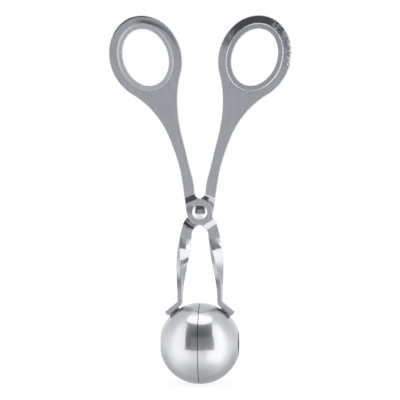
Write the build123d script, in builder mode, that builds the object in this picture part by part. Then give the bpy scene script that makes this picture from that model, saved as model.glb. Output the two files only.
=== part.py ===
"""Meatball tongs: two crossed levers on a rivet, each carrying half of a hollow ball.

Millimetres. +X is to the right of someone facing the rivet's head, +Y points away from them and +Z points up to the
finger loops. The origin is the middle of the closed tongs' footprint, at the lowest point of the ball.
"""

import os
from math import cos, hypot, radians, sin, sqrt, tan

from build123d import *

# Ball and cups
ball_radius = 22.5
cup_wall = 0.8
vent_radius = 6.75
seam_gap = 0.35

# Sheet that both levers are stamped from
sheet = 2.7
edge_round = 0.3
bend_round = 1.6

# Pivot
pivot_height = 95.4
boss_radius = 7.2
boss_gap = 0.1
joggle_clearance = 0.2
joggle_run = 2.8
# Which way the sheet steps back from the boss, in degrees past straight up and past straight down
handle_bend_lean = 23.0
arm_bend_lean = 33.0

# Rivet
shank_radius = 2.5
shank_clearance = 0.05
head_radius = 4.3
head_height = 1.7
head_dome = 8.0
head_round = 0.7
tail_radius = 3.8
tail_height = 1.3
tail_gap = 0.1
tail_round = 0.6

# Finger loop, placed from the pivot
loop_side = 30.2
loop_rise = 85.5
loop_tilt = 20.0
hole_half_width = 12.4
hole_half_length = 16.1
loop_band = 7.4
# Flange pressed back round the hole: a dished floor in front, with a wide bevel, and a raised crown behind
flange_step = 0.8
floor_width = 1.8
floor_bevel = 1.1
crown_width = 2.5
crown_bevel = 0.6

# Handle between the boss and the loop
neck_width = 5.7
# Middle, height and width of the handle, as shares of loop_side, of the height where it leaves the loop's outer side
# and of neck_width
handle_station_shares = (
    (0.657, 0.870, 2.61),
    (0.500, 0.701, 1.47),
    (0.376, 0.531, 1.11),
    (0.274, 0.360, 0.99),
    (0.204, 0.191, 1.07),
)
# Points of the handle's inner edge below them, as shares of the way across and up from where it meets the boss
crotch_edge_shares = ((0.908, 0.495), (0.603, 0.198))
# Where the handle's edges leave the loop, as shares of a turn from the loop's top, past its inner side
outer_leave_share = 0.627
inner_leave_share = 0.361
# Where the handle's edges meet the boss, in degrees past its side and past its top
outer_land = 10.0
inner_land = 20.0

# Lower arm
arm_width = 6.6
arm_top_side = 8.05
arm_top_drop = 14.6
arm_top_lean = 9.0
# Points of the shoulder's two edges, as shares of the way across and down to the arm's upper corners
shoulder_edge_shares = ((0.74, 0.32), (0.86, 0.55))
arch_edge_shares = ((0.42, 0.533), (0.807, 0.68))
# How far below the boss's side the shoulder leaves it, in degrees round the pivot
shoulder_leave = 14.0
foot_side = 11.05
foot_straight = 1.0
twist_angle = 90.0
twist_ease = 1.6
twist_steps = 9

# Bent tab that carries the cup
weld_angle = 39.0
foot_bend = 2.2
tab_reach = 3.9
weld_height = 0.7
weld_length = 6.6
weld_width = 4.6

# Least slope that counts as one, as a share of upright
slope_share = 0.001

os.makedirs("parts", exist_ok=True)

pivot = Vector(0, 0, pivot_height)
ball_centre = Vector(0, 0, ball_radius)
back_way = Vector(0, 1, 0)
pivot_axis = Axis(pivot, back_way)
ball_axis = Axis(ball_centre, (1, 0, 0))
# Facing the rivet's head, with the plane's own y upward
front_plane = Plane(origin=pivot, x_dir=(1, 0, 0), z_dir=(0, -1, 0))
pivot_section = Plane(origin=pivot, x_dir=(1, 0, 0), z_dir=(0, 0, 1))
handle_bend_way = Vector(-sin(radians(handle_bend_lean)), 0, cos(radians(handle_bend_lean)))
arm_bend_way = Vector(sin(radians(arm_bend_lean)), 0, -cos(radians(arm_bend_lean)))
ball_section = Plane(origin=ball_centre, x_dir=(1, 0, 0), z_dir=(0, 0, 1))

half_sheet = sheet / 2
through = sheet * 4
behind = front_plane.offset(-through / 2)
half_gap = boss_gap / 2
joggle_start = boss_radius + joggle_clearance
joggle_end = joggle_start + joggle_run
loop_half_width = hole_half_width + loop_band
loop_half_length = hole_half_length + loop_band
loop_centre = Vector(-loop_side, loop_rise)
loop_long_way = Vector(-sin(radians(loop_tilt)), cos(radians(loop_tilt)))
loop_wide_way = Vector(cos(radians(loop_tilt)), sin(radians(loop_tilt)))
slab_reach = hypot(loop_side, loop_rise) + loop_half_length * 2


def on_loop(turn_share):
    """A point of the loop's outline, and the outline's clockwise direction there."""
    turn = radians(360 * turn_share)
    up = loop_long_way * loop_half_length
    across = loop_wide_way * loop_half_width
    return loop_centre + up * cos(turn) + across * sin(turn), across * cos(turn) - up * sin(turn)


def on_boss(angle):
    """A point of the boss's outline, at an angle from +X, and the outline's clockwise direction there."""
    point = Vector(boss_radius * cos(radians(angle)), boss_radius * sin(radians(angle)))
    return point, Vector(sin(radians(angle)), -cos(radians(angle)))


# Edges of the handle, from the loop down to the boss
outer_leave, outer_way = on_loop(outer_leave_share)
inner_leave, inner_way = on_loop(inner_leave_share)
outer_edge = [outer_leave]
inner_edge = [inner_leave]
for side_share, rise_share, width_share in handle_station_shares:
    middle = Vector(-loop_side * side_share, outer_leave.Y * rise_share)
    half_width = Vector(neck_width * width_share / 2, 0)
    outer_edge.append(middle - half_width)
    inner_edge.append(middle + half_width)
outer_foot, outer_foot_way = on_boss(180 + outer_land)
inner_foot, inner_foot_way = on_boss(90 - inner_land)
crotch_way = inner_edge[-1] - inner_foot
for across_share, rise_share in crotch_edge_shares:
    inner_edge.append(inner_foot + Vector(crotch_way.X * across_share, crotch_way.Y * rise_share))
outer_edge.append(outer_foot)
inner_edge.append(inner_foot)

# Edges of the shoulder, from the boss down to where the twist starts
arm_top = Vector(arm_top_side, -arm_top_drop)
arm_way = Vector(sin(radians(arm_top_lean)), -cos(radians(arm_top_lean)))
arm_across = Vector(cos(radians(arm_top_lean)), sin(radians(arm_top_lean)))
outer_corner = arm_top + arm_across * (arm_width / 2)
inner_corner = arm_top - arm_across * (arm_width / 2)
shoulder_start, shoulder_way = on_boss(-shoulder_leave)
arch_start, arch_way = on_boss(-90)
shoulder_edge = [shoulder_start]
arch_edge = [arch_start]
for across_share, drop_share in shoulder_edge_shares:
    shoulder_edge.append(Vector(outer_corner.X * across_share, outer_corner.Y * drop_share))
for across_share, drop_share in arch_edge_shares:
    arch_edge.append(Vector(inner_corner.X * across_share, inner_corner.Y * drop_share))
shoulder_edge.append(outer_corner)
arch_edge.append(inner_corner)

# The tab lies square to the ball's radius at the weld
weld_out = Vector(sin(radians(weld_angle)), 0, cos(radians(weld_angle)))
tab_way = Vector(cos(radians(weld_angle)), 0, -sin(radians(weld_angle)))
tab_face = ball_centre + weld_out * (ball_radius + weld_height)
tab_middle = tab_face + weld_out * half_sheet
tab_tip = tab_middle + tab_way * tab_reach
foot_corner = tab_middle + tab_way * ((foot_side - tab_middle.X) / tab_way.X)
bend_length = foot_bend * tan(radians(90 - weld_angle) / 2)
foot_top = foot_corner + Vector(0, 0, foot_straight + bend_length)

# The middle line of the twisted arm
arm_start = front_plane.from_local_coords(arm_top)
arm_start_way = front_plane.from_local_coords(arm_top + arm_way) - arm_start
with BuildLine() as arm_line:
    Spline(arm_start, foot_top, tangents=(arm_start_way, (0, 0, -1)))


def arm_section(share):
    """The plane across the lower arm at a share of its way down, its x along the width of the strip."""
    down = arm_line.edge().tangent_at(share)
    twist = radians(twist_angle * (1 - (1 - share) ** twist_ease))
    across = down.cross(back_way) * cos(twist) + back_way * sin(twist)
    return Plane(origin=arm_line.edge().position_at(share), x_dir=across, z_dir=down)


def joggled_section(bend_way):
    """The sheet's section along bend_way, at the boss's level as far as a bend just past the other lever's boss."""
    with BuildSketch(Plane(origin=pivot, x_dir=bend_way, z_dir=bend_way.cross(back_way))) as section:
        with BuildLine():
            Polyline(
                (-slab_reach, -half_gap - sheet),
                (joggle_start, -half_gap - sheet),
                (joggle_end, -half_sheet),
                (slab_reach, -half_sheet),
                (slab_reach, half_sheet),
                (joggle_end, half_sheet),
                (joggle_start, -half_gap),
                (-slab_reach, -half_gap),
                close=True,
            )
        make_face()
        fillet(section.vertices().sort_by(lambda corner: abs(corner.X - joggle_start))[:4], bend_round)
    return section.sketch


def is_wall(face):
    """Whether a face of the flat stamping stands square to the sheet."""
    return abs(face.normal_at().Y) < slope_share


def runs_through(edge):
    """Whether an edge runs from one face of the sheet to the other."""
    return abs(edge.tangent_at(0.5).Y) > 1 - slope_share


def is_ring(edge):
    """Whether an edge goes all the way round the rivet."""
    return edge.is_closed and edge.length > shank_radius


def flange_outline(y, width):
    """The outline of the pressed flange, so wide round the finger hole, at a place through the sheet."""
    with BuildSketch(front_plane.offset(-y)) as outline:
        with Locations(loop_centre):
            Ellipse(hole_half_width + width, hole_half_length + width, rotation=loop_tilt)
    return outline.sketch


with BuildSketch(behind) as blank:
    # The handle, the shoulder, the loop and the boss
    with BuildLine():
        Spline(*outer_edge, tangents=(-outer_way, -outer_foot_way))
        Line(outer_foot, inner_foot)
        Spline(*inner_edge, tangents=(inner_way, inner_foot_way))
        Line(inner_leave, outer_leave)
    make_face()
    with BuildLine():
        Spline(*shoulder_edge, tangents=(shoulder_way, arm_way))
        Line(outer_corner, inner_corner)
        Spline(*arch_edge, tangents=(-arch_way, arm_way))
        Line(arch_start, shoulder_start)
    make_face()
    with Locations(loop_centre):
        Ellipse(loop_half_width, loop_half_length, rotation=loop_tilt)
    Circle(boss_radius)

with BuildPart() as handle_slab:
    extrude(joggled_section(handle_bend_way), amount=slab_reach, both=True)
    split(bisect_by=Plane(pivot), keep=Keep.TOP)

with BuildPart() as arm_slab:
    extrude(joggled_section(arm_bend_way), amount=slab_reach, both=True)
    split(bisect_by=Plane(pivot), keep=Keep.BOTTOM)

with BuildPart() as front_lever:
    # The sheet steps forward to the pivot from the handle and from the arm, so that the two bosses pass each other
    add(handle_slab.part)
    add(arm_slab.part)
    extrude(blank.sketch, amount=through, mode=Mode.INTERSECT)

    # The flange round the finger hole is pressed back from the front face
    floor_rim = flange_outline(-half_sheet, floor_width + floor_bevel)
    crown_rim = flange_outline(half_sheet, crown_width + crown_bevel)
    loft([floor_rim, flange_outline(flange_step - half_sheet, floor_width)], mode=Mode.SUBTRACT)
    loft([crown_rim, flange_outline(flange_step + half_sheet, crown_width)])
    with BuildSketch(behind):
        with Locations(loop_centre):
            Ellipse(hole_half_width, hole_half_length, rotation=loop_tilt)
    extrude(amount=through, mode=Mode.SUBTRACT)

    # Every rim of the stamping is rounded but the end that the twisted arm goes on from
    walls = front_lever.faces().filter_by(is_wall)
    rims = walls.filter_by(GeomType.PLANE, reverse=True).edges().filter_by(runs_through, reverse=True)
    fillet(rims, edge_round)

    # The hole for the rivet keeps its sharp edges
    with BuildSketch(behind):
        Circle(shank_radius + shank_clearance)
    extrude(amount=through, mode=Mode.SUBTRACT)

    # The twisted arm
    for step in range(twist_steps + 1):
        with BuildSketch(arm_section(step / twist_steps)):
            RectangleRounded(arm_width, sheet, edge_round)
    loft()

    # The foot, bent outward into the tab
    with BuildLine() as foot:
        FilletPolyline(foot_top, foot_corner, tab_tip, radius=foot_bend)
    with BuildSketch(arm_section(1)):
        RectangleRounded(arm_width, sheet, edge_round)
    sweep(path=foot.wire())

with BuildPart() as back_lever:
    add(front_lever.part.rotate(Axis.Z, 180))

with BuildPart() as pivot_rivet:
    head_face = -half_gap - sheet
    tail_face = half_gap + sheet + tail_gap
    head_top = head_face - head_height
    shoulder_point = (head_radius, head_top + head_dome - sqrt(head_dome**2 - head_radius**2))
    with BuildSketch(pivot_section):
        with BuildLine():
            RadiusArc((0, head_top), shoulder_point, -head_dome)
            Polyline(
                shoulder_point,
                (head_radius, head_face),
                (shank_radius, head_face),
                (shank_radius, tail_face),
                (tail_radius, tail_face),
                (tail_radius, tail_face + tail_height),
                (0, tail_face + tail_height),
                (0, head_top),
            )
        make_face()
    revolve(axis=pivot_axis)
    fillet(pivot_rivet.edges().filter_by(is_ring).sort_by(Axis.Y)[0], head_round)
    fillet(pivot_rivet.edges().filter_by(is_ring).sort_by(Axis.Y)[-1], tail_round)

with BuildPart() as right_cup:
    inner_radius = ball_radius - cup_wall
    half_seam = seam_gap / 2
    rim_outside = (half_seam, sqrt(ball_radius**2 - half_seam**2))
    rim_inside = (half_seam, sqrt(inner_radius**2 - half_seam**2))
    vent_outside = (sqrt(ball_radius**2 - vent_radius**2), vent_radius)
    vent_inside = (sqrt(inner_radius**2 - vent_radius**2), vent_radius)
    with BuildSketch(ball_section):
        with BuildLine():
            RadiusArc(rim_outside, vent_outside, ball_radius)
            Line(vent_outside, vent_inside)
            RadiusArc(vent_inside, rim_inside, -inner_radius)
            Line(rim_inside, rim_outside)
        make_face()
    revolve(axis=ball_axis)

with BuildPart() as left_cup:
    add(right_cup.part.rotate(Axis.Z, 180))

with BuildPart() as right_cup_weld:
    with BuildSketch(Plane(origin=tab_face, x_dir=tab_way, z_dir=-weld_out)):
        SlotOverall(weld_length, weld_width)
    extrude(amount=ball_radius)
    with Locations(ball_centre):
        Sphere(ball_radius, mode=Mode.SUBTRACT)

with BuildPart() as left_cup_weld:
    add(right_cup_weld.part.rotate(Axis.Z, 180))

pieces = {
    "front_lever": front_lever,
    "back_lever": back_lever,
    "pivot_rivet": pivot_rivet,
    "right_cup": right_cup,
    "left_cup": left_cup,
    "right_cup_weld": right_cup_weld,
    "left_cup_weld": left_cup_weld,
}
for name, piece in pieces.items():
    piece.part.label = name
    export_step(piece.part, f"parts/{name}.step")
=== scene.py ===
"""Meatball tongs in stainless steel, standing in a white light tent.

Metres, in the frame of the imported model.
"""

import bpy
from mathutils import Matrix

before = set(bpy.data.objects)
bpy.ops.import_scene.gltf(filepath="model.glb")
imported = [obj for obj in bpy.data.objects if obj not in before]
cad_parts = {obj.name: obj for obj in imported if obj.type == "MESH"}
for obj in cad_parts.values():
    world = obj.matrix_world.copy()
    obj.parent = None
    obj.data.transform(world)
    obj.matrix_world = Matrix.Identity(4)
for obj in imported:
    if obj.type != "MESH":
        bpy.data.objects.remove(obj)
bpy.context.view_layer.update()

from math import cos, pi, radians, sin, tan

import bpy
from mathutils import Vector

# Camera, by the place in the picture of what the photograph shows
camera_azimuth = radians(3.7)
camera_elevation = radians(2.0)
camera_distance = 1.2
camera_height = 0.10206
picture_width = 0.2214
sensor_width = 36.0

# Places that the finishes follow, as the stamping has them
pivot_height = 0.0954
loop_side = 0.0302
loop_height = 0.1809
loop_tilt = radians(20)
flange_half_width = 0.0153
flange_half_length = 0.0190
loop_half_width = 0.0198
loop_half_length = 0.0235
arm_top = 0.0808
arm_bottom = 0.0450
twist_power = 1.6
lever_lean = radians(19.5)
ball_radius = 0.0225
cup_wall = 0.0008

# Heights from and to which a finish lies on the levers, and the height over which it fades
arm_edge_heights = (0.0570, 0.0820, 0.0060)
turned_heights = (0.0535, 0.0658, 0.0050)
swept_heights = (0.0695, 0.0800, 0.0020)
bend_heights = (0.0840, 0.1060, 0.0020)

# Heights where a finish starts, and where it is full
handle_start = (pivot_height + 0.009, pivot_height + 0.020)
roll_start = (loop_height - 0.012, loop_height - 0.002)
foot_start = (0.0570, 0.0520)
# Where the painted shade under the feet starts, and where it is full
underside_shade_start = (0.0520, 0.0460)

# Parts of the tent, in degrees: from and to which azimuth from the camera's side, from and to which
# elevation, and how soft the borders of both are
left_wall = ((-82, -30), (-40, 52), (30, 24), (30, 30))
right_wall = ((26, 84), (-46, 52), (20, 26), (24, 30))
opening_right = ((17, 44), (-13, 22), (4, 4), (4, 4))
opening_low = ((-23, 17), (-15, 22), (5, 5), (4, 5))

# The whole opening, in degrees: from and to which azimuth and elevation, and how soft its borders are. The
# last value says how much it widens towards its top
opening_azimuths = (-38.5, 40, 3)
opening_elevations = (-13, 59, 4)
opening_widening = 0.7

# The roof light's half width and half depth, and how far its middle is in front, per metre of height
roof_half_width = 0.56
roof_half_depth = 0.40
roof_forward = 0.17

# How bright the parts are. tent_level scales them all, but not the white that the camera sees
left_wall_light = 1.20
right_wall_light = 1.34
roof_light = 1.42
roof_border_light = 0.36
opening_light = 0.088
opening_right_light = 0.24
opening_low_light = 0.25
tent_level = 1.25
backdrop_light = 1.0
plain_tint = (1.0, 1.0, 1.0)
shade_tint = (0.955, 0.995, 1.06)

# The floor: how far it goes each way, its own tone, and how much it glows for the camera and for all else
floor_reach = 3.0
floor_tone = 0.28
floor_glow_seen = 0.80
floor_glow = 0.55

# Colours of the satin sheet, of what was done to it, and of the shade painted on it
satin_dark = (0.660, 0.677, 0.710)
satin_pale = (0.760, 0.775, 0.800)
sheared_color = (0.272, 0.280, 0.304)
arm_edge_color = (0.448, 0.464, 0.488)
turned_color = (0.336, 0.344, 0.368)
# Painted shade on the faces of the feet that look down
painted_underside_shade_color = (0.208, 0.216, 0.240)
swept_color = (0.448, 0.464, 0.488)
# Painted shade on the leaning rim and the rolled edge of the loop, standing in for a dark reflection
rim_painted_shade_color = (0.240, 0.248, 0.264)
roll_painted_shade_color = (0.200, 0.208, 0.224)
gentle_step_color = (0.496, 0.512, 0.536)
steep_step_color = (0.760, 0.776, 0.800)
dull_step_color = (0.448, 0.464, 0.496)
scratch_color = (0.640, 0.648, 0.656)
# Painted shade on the boss: the rivet's shadow on one lever, a dark patch below the boss on the other
boss_painted_shade_color = (0.160, 0.168, 0.192)
bend_color = (0.360, 0.368, 0.384)

# Roughness of the satin sheet, and of what was done to it
flat_rough = 0.41
bent_rough = 0.12
arm_edge_rough = 0.34
leaning_rough = 0.18
gentle_step_rough = 0.55
steep_step_rough = 0.22
sheared_extra_rough = 0.18

# Heights of the fine relief, in metres
line_relief = 0.0000035
band_relief = 0.0000036
peel_relief = 0.0000030
worn_relief = 0.0000300
scratch_relief = 0.0000040
spun_relief = 0.0000007
pit_relief = 0.0000030
weld_relief = 0.0001200

# Colours of the welds
weld_blue = (0.27, 0.29, 0.33)
weld_brown = (0.32, 0.31, 0.30)
weld_bright = (0.46, 0.47, 0.48)


class Graph:
    """Adds nodes to a node tree and links them as it goes. Values are outputs of nodes, or plain ones."""

    def __init__(self, tree):
        self.tree = tree
        tree.nodes.clear()

    def node(self, kind, *values, **settings):
        """A node. Values go to its sockets in order, settings to its properties or its named sockets."""
        node = self.tree.nodes.new("ShaderNode" + kind)
        for name, value in settings.items():
            if hasattr(node, name):
                setattr(node, name, value)
            else:
                self.feed(node.inputs[name.replace("_", " ").title()], value)
        for socket, value in zip(node.inputs, values):
            self.feed(socket, value)
        return node

    def add(self, kind, *values, output=0, **settings):
        """The chosen output of a new node."""
        return self.node(kind, *values, **settings).outputs[output]

    def feed(self, socket, value):
        """Links a socket to an output, or sets it to a plain value. None leaves it alone."""
        if isinstance(value, bpy.types.NodeSocket):
            self.tree.links.new(value, socket)
        elif value is not None:
            socket.default_value = value

    def math(self, operation, *values):
        return self.add("Math", *values, operation=operation)

    def plus(self, first, second):
        return self.math("ADD", first, second)

    def minus(self, first, second):
        return self.math("SUBTRACT", first, second)

    def times(self, first, second):
        return self.math("MULTIPLY", first, second)

    def over(self, first, second):
        return self.math("DIVIDE", first, second)

    def hypotenuse(self, first, second):
        return self.math("SQRT", self.plus(self.times(first, first), self.times(second, second)))

    def vector(self, operation, *values):
        return self.add("VectorMath", *values, operation=operation)

    def length(self, vector):
        return self.add("VectorMath", vector, operation="LENGTH", output=1)

    def scaled(self, vector, scale):
        node = self.node("VectorMath", vector, operation="SCALE")
        self.feed(node.inputs["Scale"], scale)
        return node.outputs[0]

    def ramp(self, value, low, high, bottom=0.0, top=1.0):
        """A smooth rise from bottom at low to top at high."""
        return self.add("MapRange", value, low, high, bottom, top, interpolation_type="SMOOTHSTEP")

    def window(self, value, low, high, edge, high_edge=None):
        """1 between low and high, 0 outside, with soft edges."""
        high_edge = high_edge or edge
        rise = self.ramp(value, low - edge / 2, low + edge / 2)
        fall = self.ramp(value, high + high_edge / 2, high - high_edge / 2)
        return self.times(rise, fall)

    def mix(self, share, first, second):
        """Between two plain values."""
        node = self.node("Mix", share, data_type="FLOAT")
        self.feed(node.inputs[2], first)
        self.feed(node.inputs[3], second)
        return node.outputs[0]

    def mix_color(self, share, first, second):
        node = self.node("Mix", share, data_type="RGBA")
        self.feed(node.inputs[6], (*first, 1) if isinstance(first, tuple) else first)
        self.feed(node.inputs[7], (*second, 1) if isinstance(second, tuple) else second)
        return node.outputs[2]

    def noise(self, place, scale=1.0, detail=2.0, roughness=0.5):
        return self.add("TexNoise", Vector=place, Scale=scale, Detail=detail, Roughness=roughness)

    def varied(self, value, noise, amount):
        """The value, raised and lowered by a noise, which has its middle at a half."""
        return self.plus(value, self.times(self.minus(noise, 0.5), amount))

    def relief(self, height, normal=None):
        """The normal of a surface with this height on it, in metres."""
        return self.add("Bump", Strength=1.0, Distance=1.0, Height=height, Normal=normal)


def make_camera():
    """The photograph's view."""
    data = bpy.data.cameras.new("camera")
    data.sensor_width = sensor_width
    data.lens = sensor_width * camera_distance / picture_width
    camera = bpy.data.objects.new("camera", data)
    bpy.context.scene.collection.objects.link(camera)
    back = Vector((
        sin(camera_azimuth) * cos(camera_elevation),
        -cos(camera_azimuth) * cos(camera_elevation),
        sin(camera_elevation),
    ))
    camera.location = Vector((0, 0, camera_height)) + back * camera_distance
    camera.rotation_mode = "QUATERNION"
    camera.rotation_quaternion = (-back).to_track_quat("-Z", "Y")
    bpy.context.scene.camera = camera


def make_world():
    """A white tent: lit walls and roof, and a dark opening round the camera."""
    world = bpy.data.worlds.new("tent")
    world.use_nodes = True
    bpy.context.scene.world = world
    g = Graph(world.node_tree)
    x, y, z = g.node("SeparateXYZ", g.add("TexCoord", output="Generated")).outputs
    azimuth = g.math("ARCTAN2", x, g.times(y, -1.0))
    rise = g.math("ARCSINE", z)

    def zone(az, up, edges, up_edges):
        """1 in a window of directions, by azimuth from the camera's side and by elevation, in degrees."""
        across = g.window(azimuth, radians(az[0]), radians(az[1]), radians(edges[0]), radians(edges[1]))
        tall = g.window(rise, radians(up[0]), radians(up[1]), radians(up_edges[0]), radians(up_edges[1]))
        return g.times(across, tall)

    # The walls are weaker underneath, high up and behind. Behind, they are weakest below the horizon
    light = g.ramp(rise, radians(-85), radians(-30), 0.52, 0.94)
    light = g.times(light, g.ramp(rise, radians(-10), radians(40), 1.0, 0.74))
    light = g.times(light, g.ramp(y, -0.1, 0.9, 1.0, 0.78))
    low_behind = g.times(g.ramp(y, 0.1, 0.6), g.ramp(z, -0.05, -0.45))
    light = g.times(light, g.minus(1.0, g.times(low_behind, 0.36)))
    high_behind = g.times(g.ramp(y, 0.50, 0.90), g.ramp(z, -0.05, 0.25))
    light = g.times(light, g.plus(1.0, g.times(high_behind, 0.26)))
    light = g.mix(zone(*left_wall), light, left_wall_light)
    light = g.mix(zone(*right_wall), light, right_wall_light)

    # The roof light is oval and reaches from behind the object to in front of it. oval is 1 at its border
    side = g.over(g.over(x, z), roof_half_width)
    depth = g.over(g.plus(g.over(y, z), roof_forward), roof_half_depth)
    oval = g.plus(g.times(side, side), g.times(depth, depth))
    above = g.ramp(z, 0.3, 0.4)
    border = g.times(g.ramp(oval, 1.55, 1.15), g.ramp(depth, 0.1, -0.5))
    light = g.mix(g.times(border, above), light, roof_border_light)
    light = g.mix(g.times(g.ramp(oval, 1.08, 0.92), above), light, roof_light)

    # The opening, darkest above the camera and to its left
    narrowed = g.times(azimuth, g.math("POWER", g.math("COSINE", rise), opening_widening))
    opening = g.times(
        g.window(narrowed, *(radians(angle) for angle in opening_azimuths)),
        g.window(rise, *(radians(angle) for angle in opening_elevations)))
    light = g.mix(opening, light, opening_light)
    light = g.mix(zone(*opening_right), light, opening_right_light)
    light = g.mix(zone(*opening_low), light, opening_low_light)

    # The opening and the tent's darker parts are a little blue
    seen = g.add("LightPath", output="Is Camera Ray")
    cool = g.math("MAXIMUM", opening, g.ramp(light, 0.95, 0.55, 0.0, 0.75))
    tint = g.mix_color(g.times(cool, g.minus(1.0, seen)), plain_tint, shade_tint)
    light = g.times(light, tent_level)
    g.node("OutputWorld", g.add("Background", tint, g.mix(seen, light, backdrop_light)))


def new_material(name):
    material = bpy.data.materials.new(name)
    material.use_nodes = True
    return material, Graph(material.node_tree)


def make_floor():
    """A plain white floor that keeps a faint shadow."""
    mesh = bpy.data.meshes.new("floor")
    corners = [(x * floor_reach, y * floor_reach, 0) for x, y in ((-1, -1), (1, -1), (1, 1), (-1, 1))]
    mesh.from_pydata(corners, [], [(0, 1, 2, 3)])
    floor = bpy.data.objects.new("floor", mesh)
    bpy.context.scene.collection.objects.link(floor)
    material, g = new_material("floor")
    matt = g.add("BsdfDiffuse", (floor_tone, floor_tone, floor_tone, 1))
    seen = g.add("LightPath", output="Is Camera Ray")
    glow = g.add("Emission", (1, 1, 1, 1), g.mix(seen, floor_glow, floor_glow_seen))
    g.node("OutputMaterial", g.add("AddShader", matt, glow))
    mesh.materials.append(material)
    floor.visible_glossy = False


def metal(g, color, roughness, normal=None):
    """A plain metal surface."""
    node = g.node("BsdfPrincipled", Metallic=1.0, Roughness=roughness, Normal=normal)
    g.feed(node.inputs["Base Color"], (*color, 1) if isinstance(color, tuple) else color)
    return node.outputs[0]


def drawn_noise(g, across, y, along, width, length, detail=3.0):
    """Noise drawn out along the lever, with features of about this width and length."""
    stretched = g.add("CombineXYZ", g.over(across, width), g.over(y, width), g.over(along, length))
    return g.noise(stretched, detail=detail)


def scratches(g, across, y, along, cloud):
    """Thin scratches in patches, aslant to the drawn lines, where a drawn-out noise crosses its middle."""
    slant = 0.55
    scale_across = 160.0
    scale_along = 22.0
    stretched = g.add(
        "CombineXYZ",
        g.times(g.plus(across, g.times(along, slant)), scale_across),
        g.times(y, scale_across),
        g.times(g.minus(along, g.times(across, slant)), scale_along))
    off_middle = g.math("ABSOLUTE", g.minus(g.noise(stretched, detail=3.0), 0.5))
    return g.times(g.ramp(off_middle, 0.012, 0.002), g.ramp(cloud, 0.46, 0.60))


def leaning_rim(g, place, ring, around, wide_share, rim):
    """Where the face beside the flange leans. On the loop's outer side it is mottled, as worn metal is, and
    so is its painted shade.
    """
    drifted = g.minus(ring, g.ramp(around, radians(28), radians(84), 0.0, rim["drift"]))
    band = g.times(g.ramp(drifted, 1.0, 1.03), g.ramp(drifted, rim["reach"] + 0.05, rim["reach"] - 0.05))
    band = g.times(band, g.window(around, rim["start"], rim["end"], rim["fade"], radians(26)))
    mottle = g.ramp(g.noise(place, scale=1000.0, detail=3.0, roughness=0.6), 0.38, 0.56)
    return g.times(band, g.mix(g.ramp(wide_share, -0.40, 0.10), mottle, 1.0))


def rolled_edge(g, place, z, outer_ring, around, roll):
    """Where the loop's outer edge is rolled down. A ragged one is uneven and broken up."""
    uneven = g.noise(place, scale=900.0, detail=3.0, roughness=0.6)
    band = g.ramp(g.varied(outer_ring, uneven, roll["ragged"]), 0.948, 0.972)
    band = g.times(band, g.ramp(z, *roll_start))
    if roll["ragged"]:
        broken = g.noise(place, scale=620.0, detail=3.0, roughness=0.6)
        band = g.times(band, g.ramp(broken, 0.42, 0.56))
    return g.times(band, g.window(around, roll["start"], roll["end"], roll["fade"]))


def edge_of_arm(g, z, own_normal):
    """The narrow edge of the arm, whose width turns from sideways to front and back on its way down."""
    unturned = g.add("MapRange", z, arm_top, arm_bottom, 1.0, 0.0)
    twist = g.times(g.minus(1.0, g.math("POWER", unturned, twist_power)), pi / 2)
    beside = g.plus(
        g.times(own_normal.outputs["X"], g.math("COSINE", twist)),
        g.times(own_normal.outputs["Y"], g.math("SINE", twist)))
    return g.times(g.ramp(g.math("ABSOLUTE", beside), 0.75, 0.92), g.window(z, *arm_edge_heights))


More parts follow.
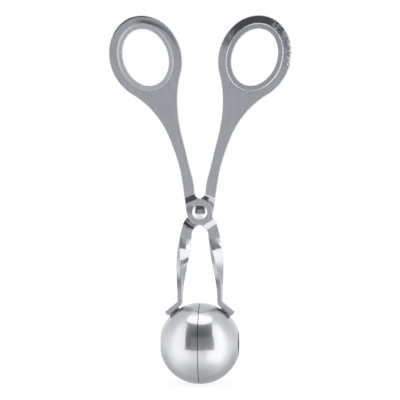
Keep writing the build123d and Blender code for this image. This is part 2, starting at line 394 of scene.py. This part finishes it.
def satin_steel(name, rim, roll, line_loss, flange_tone, flange_rough, boss_painted_shade):
    """The levers' sheet: drawn lines, scratches and sheared edges, and round the loop what the press left.

    The face beside the flange leans outward over part of the loop, and the loop's outer edge is rolled
    down over another. rim and roll describe the two. tilt is how much each leans, start and end say from
    where to where it goes, as turns from the loop's top towards the other loop, fade is over how much of a
    turn it starts, and wear is how much painted shade darkens it, standing in for a dark reflection. rim's
    reach is how far out it goes, in sizes of the flange, and its drift how much farther out it lies towards
    the other loop. roll's ragged is how uneven its border is.

    line_loss is how much of the flange's pale line is lost towards the other loop. flange_tone and
    flange_rough are the flange's brightness and roughness. mark is painted shade on the boss, a painted
    shadow beside the rivet on one lever and a dark patch below the boss on the other: its middle, its
    radius, how ragged it is, and how much it covers.
    """
    material, g = new_material(name)
    place = g.add("TexCoord", output="Object")
    x, y, z = g.node("SeparateXYZ", place).outputs
    out = g.math("ABSOLUTE", x)

    # Along and across the drawn lines, which lean outward with the handle on both levers
    up = g.minus(z, pivot_height)
    across = g.minus(g.times(out, cos(lever_lean)), g.times(up, sin(lever_lean)))
    along = g.plus(g.times(out, sin(lever_lean)), g.times(up, cos(lever_lean)))
    fine = drawn_noise(g, across, y, along, width=0.00022, length=0.006)
    broad = drawn_noise(g, across, y, along, width=0.0011, length=0.016, detail=2.0)
    cloud = g.noise(place, scale=90.0, detail=3.0)
    peel = g.noise(place, scale=1500.0, detail=2.0, roughness=0.6)
    scratch = scratches(g, across, y, along, cloud)
    grain = g.plus(g.times(fine, 0.35), g.times(broad, 0.25))
    grain = g.plus(grain, g.times(peel, 0.40))

    # Place in the loop: across it towards the other loop, and up its long way. ring and outer_ring are 1 at
    # the borders of the flange and of the loop, and around is the turn from its top
    side = g.minus(loop_side, out)
    rise = g.minus(z, loop_height)
    wide = g.plus(g.times(side, cos(loop_tilt)), g.times(rise, sin(loop_tilt)))
    long = g.minus(g.times(rise, cos(loop_tilt)), g.times(side, sin(loop_tilt)))
    wide_share = g.over(wide, flange_half_width)
    long_share = g.over(long, flange_half_length)
    ring = g.hypotenuse(wide_share, long_share)
    outer_ring = g.hypotenuse(g.over(wide, loop_half_width), g.over(long, loop_half_length))
    around = g.math("ARCTAN2", wide_share, long_share)

    # The rim and the roll lean outward in the plane of the sheet
    on_rim = leaning_rim(g, place, ring, around, wide_share, rim)
    on_roll = rolled_edge(g, place, z, outer_ring, around, roll)
    inward_x = g.minus(g.times(wide_share, cos(loop_tilt)), g.times(long_share, sin(loop_tilt)))
    lean_x = g.times(g.math("SIGN", x), g.times(inward_x, -1.0))
    lean_z = g.plus(g.times(wide_share, sin(loop_tilt)), g.times(long_share, cos(loop_tilt)))
    strength = g.mix(on_roll, g.times(on_rim, tan(rim["tilt"])), tan(roll["tilt"]))
    lean = g.scaled(g.vector("NORMALIZE", g.add("CombineXYZ", lean_x, 0.0, lean_z)), strength)
    lean = g.add("VectorTransform", lean, vector_type="VECTOR", convert_from="OBJECT", convert_to="WORLD")
    normal = g.add("NewGeometry", output="Normal")
    leaning = g.vector("NORMALIZE", g.vector("ADD", normal, lean))

    # The flange and its step, which is gentle in one part and steep in another
    facing = g.math("ABSOLUTE", g.add("SeparateXYZ", normal, output="Y"))
    in_flange = g.ramp(ring, 1.0, 0.98)
    on_step = g.times(g.ramp(ring, 0.84, 0.88), g.ramp(ring, 1.02, 0.99))
    gentle_step = g.times(on_step, g.window(facing, 0.74, 0.93, 0.06))
    steep_step = g.times(on_step, g.window(facing, 0.45, 0.70, 0.06))
    lost = g.times(g.window(around, radians(24), radians(104), radians(34)), line_loss)
    dull_step = g.times(g.times(lost, on_step), g.ramp(facing, 0.985, 0.93))
    steep_step = g.times(steep_step, g.minus(1.0, lost))

    # The sheet's sheared edge, the bends beside the boss, and the arm as it twists and ends in the foot
    own_normal = g.node("SeparateXYZ", g.add("TexCoord", output="Normal"))
    sheared = g.times(g.ramp(facing, 0.75, 0.35), g.ramp(z, *handle_start))
    sheared = g.times(sheared, g.minus(1.0, on_step))
    bent = g.times(g.ramp(facing, 0.992, 0.960), g.window(z, *bend_heights))
    arm_edge = edge_of_arm(g, z, own_normal)
    swept = g.times(g.window(z, *swept_heights), g.ramp(facing, 0.97, 0.90))
    turned = g.times(g.window(z, *turned_heights), g.minus(1.0, arm_edge))
    turned = g.math("MAXIMUM", turned, g.times(g.ramp(z, *foot_start), g.ramp(facing, 0.70, 0.40)))
    # Painted shade on the faces of the feet that look down, over the cups
    painted_underside_shade = g.times(g.ramp(own_normal.outputs["Z"], -0.2, -0.5), g.ramp(z, *underside_shade_start))

    # Painted shade on the boss
    off_painted_shade = g.varied(g.length(g.vector("SUBTRACT", place, boss_painted_shade["middle"])), peel, boss_painted_shade["ragged"])
    on_painted_shade = g.ramp(off_painted_shade, boss_painted_shade["radius"] * 1.25, boss_painted_shade["radius"] * 0.75, 0.0, boss_painted_shade["share"])

    flange_color = (flange_tone * 0.92, flange_tone * 0.95, flange_tone)
    color = g.mix_color(g.ramp(grain, 0.38, 0.62), satin_dark, satin_pale)
    for mask, share, cover in (
        (sheared, 0.75, sheared_color),
        (arm_edge, 1.0, arm_edge_color),
        (turned, 0.80, turned_color),
        # painted shade on the faces of the feet that look down
        (painted_underside_shade, 1.0, painted_underside_shade_color),
        (swept, 0.70, swept_color),
        # painted shade on the leaning rim and the rolled edge, standing in for a dark reflection
        (on_rim, rim["painted_darkening"], rim_painted_shade_color),
        (on_roll, roll["painted_darkening"], roll_painted_shade_color),
        (in_flange, 1.0, flange_color),
        (gentle_step, 1.0, gentle_step_color),
        (steep_step, 1.0, steep_step_color),
        (dull_step, 1.0, dull_step_color),
        (scratch, 0.35, scratch_color),
        # painted shade on the boss
        (on_painted_shade, 1.0, boss_painted_shade_color),
        (bent, 0.30, bend_color),
    ):
        color = g.mix_color(g.times(mask, share), color, cover)

    # Flat faces keep the mill's satin, and what was bent or pressed is smoother
    rough = g.mix(g.ramp(facing, 0.960, 0.992), bent_rough, flat_rough)
    rough = g.varied(rough, grain, 0.16)
    rough = g.varied(rough, cloud, 0.08)
    for mask, roughness in (
        (arm_edge, arm_edge_rough),
        (in_flange, flange_rough),
        (g.math("MAXIMUM", on_rim, on_roll), leaning_rough),
        (gentle_step, gentle_step_rough),
        (steep_step, steep_step_rough),
    ):
        rough = g.mix(mask, rough, roughness)
    rough = g.plus(rough, g.times(sheared, sheared_extra_rough))

    # Fine relief, deepest where the rim is worn
    height = g.plus(g.times(fine, line_relief), g.times(broad, band_relief))
    height = g.plus(height, g.times(peel, peel_relief))
    height = g.plus(height, g.times(g.times(peel, on_rim), worn_relief))
    height = g.minus(height, g.times(scratch, scratch_relief))
    g.node("OutputMaterial", metal(g, color, rough, g.relief(height, leaning)))
    return material


def polished_steel(name, tone, middle, spun, sharp, haze, haze_share, mark_radius=0.0, inner_radius=0.0):
    """Mirror-polished metal: a sharp reflection over a hazy one, spun lines, wipe marks and fine pits.

    tone is its brightness, sharp and haze are the roughness of the two reflections, and haze_share is how
    much of the hazy one there is. middle is the point that the spun lines go round, about the axis given by
    spun. Within mark_radius of that axis it is hazier, where a tool pressed. What lies within inner_radius
    of middle is hazier, because the polisher doesn't reach it, and darker by painted shade for the inside
    of the hollow.
    """
    material, g = new_material(name)
    place = g.add("TexCoord", output="Object")
    offset = g.vector("SUBTRACT", place, middle)
    x, y, z = g.node("SeparateXYZ", offset).outputs
    length, first, second = (x, y, z) if spun == "X" else (y, x, z)
    radius = g.hypotenuse(first, second)
    turn = g.math("ARCTAN2", first, second)
    ring_scale = 2600.0
    turn_scale = 1.5
    rings = g.noise(g.add(
        "CombineXYZ", g.times(radius, ring_scale), g.times(length, ring_scale), g.times(turn, turn_scale)))
    wiped = g.noise(place, scale=120.0, detail=4.0)
    cloud = g.noise(place, scale=55.0)
    dust = g.noise(place, scale=1100.0)
    pits = g.ramp(g.noise(place, scale=5200.0, detail=1.0), 0.74, 0.80)

    low = (tone * 0.965, tone * 0.975, tone * 0.995)
    high = (tone * 1.02, tone * 1.025, tone * 1.04)
    color = g.mix_color(g.ramp(rings, 0.3, 0.7), low, high)
    bump = g.relief(g.plus(g.times(rings, spun_relief), g.times(pits, -pit_relief)))
    mirror = metal(g, color, g.plus(sharp, g.times(g.ramp(wiped, 0.45, 0.75), 0.03)), bump)
    soft = metal(g, color, g.varied(haze, wiped, 0.10), bump)
    share = g.varied(g.varied(haze_share, cloud, 0.25), dust, 0.16)
    surface = g.add("MixShader", share, mirror, soft)
    if mark_radius:
        near = g.times(g.ramp(radius, mark_radius * 1.15, mark_radius * 0.85), 0.55)
        surface = g.add("MixShader", near, surface, metal(g, color, 0.50, bump))
    if inner_radius:
        # The inside of the hollow: hazier, as the polisher doesn't reach it, and darkened by painted shade
        within = g.ramp(g.length(offset), inner_radius, inner_radius * 0.99)
        inside = metal(g, (tone * 0.33, tone * 0.34, tone * 0.36), 0.30, bump)
        surface = g.add("MixShader", within, surface, inside)
    g.node("OutputMaterial", surface)
    return material


def weld_steel(name):
    """Fused metal, heat tinted in brown and blue."""
    material, g = new_material(name)
    place = g.add("TexCoord", output="Object")
    lumps = g.noise(place, scale=1400.0, detail=4.0)
    tint = g.noise(place, scale=420.0)
    color = g.mix_color(g.ramp(tint, 0.35, 0.55), weld_blue, weld_brown)
    color = g.mix_color(g.ramp(lumps, 0.55, 0.75), color, weld_bright)
    rough = g.ramp(tint, 0.2, 0.8, 0.32, 0.52)
    g.node("OutputMaterial", metal(g, color, rough, g.relief(g.times(lumps, weld_relief))))
    return material


make_camera()
make_world()
make_floor()

looks = {
    "front_lever": satin_steel(
        "front_lever_steel",
        rim=dict(
            tilt=radians(12), start=radians(10), end=radians(86), fade=radians(26), painted_darkening=0.0,
            reach=1.12, drift=0.12),
        roll=dict(
            tilt=radians(20), start=radians(-38), end=radians(28), fade=radians(20), painted_darkening=0.6,
            ragged=0.0),
        line_loss=1.0, flange_tone=0.80, flange_rough=0.47,
        # painted shadow of the rivet, on the boss at its left
        boss_painted_shade=dict(middle=(-0.0054, -0.0030, 0.0968), radius=0.0020, ragged=0.0010, share=0.45)),
    "back_lever": satin_steel(
        "back_lever_steel",
        rim=dict(
            tilt=radians(20), start=radians(-74), end=radians(84), fade=radians(64), painted_darkening=0.50,
            reach=1.60, drift=0.0),
        roll=dict(
            tilt=radians(29), start=radians(-92), end=radians(-34), fade=radians(20), painted_darkening=0.0,
            ragged=0.30),
        line_loss=0.0, flange_tone=0.68, flange_rough=0.42,
        # painted shade below the boss
        boss_painted_shade=dict(middle=(-0.0056, 0.0, 0.0894), radius=0.0034, ragged=0.0035, share=0.86)),
    "pivot_rivet": polished_steel(
        "rivet_steel", tone=0.64, middle=(0.0, 0.0, pivot_height), spun="Y",
        sharp=0.05, haze=0.25, haze_share=0.12, mark_radius=0.0014),
    "right_cup": polished_steel(
        "cup_steel", tone=0.624, middle=(0.0, 0.0, ball_radius), spun="X",
        sharp=0.045, haze=0.36, haze_share=0.52, inner_radius=ball_radius - cup_wall * 0.5),
    "right_cup_weld": weld_steel("bead_steel"),
}
looks["left_cup"] = looks["right_cup"]
looks["left_cup_weld"] = looks["right_cup_weld"]
for name, look in looks.items():
    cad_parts[name].material_slots[0].material = look

bpy.context.scene.view_settings.view_transform = "Standard"

bpy.context.view_layer.update()
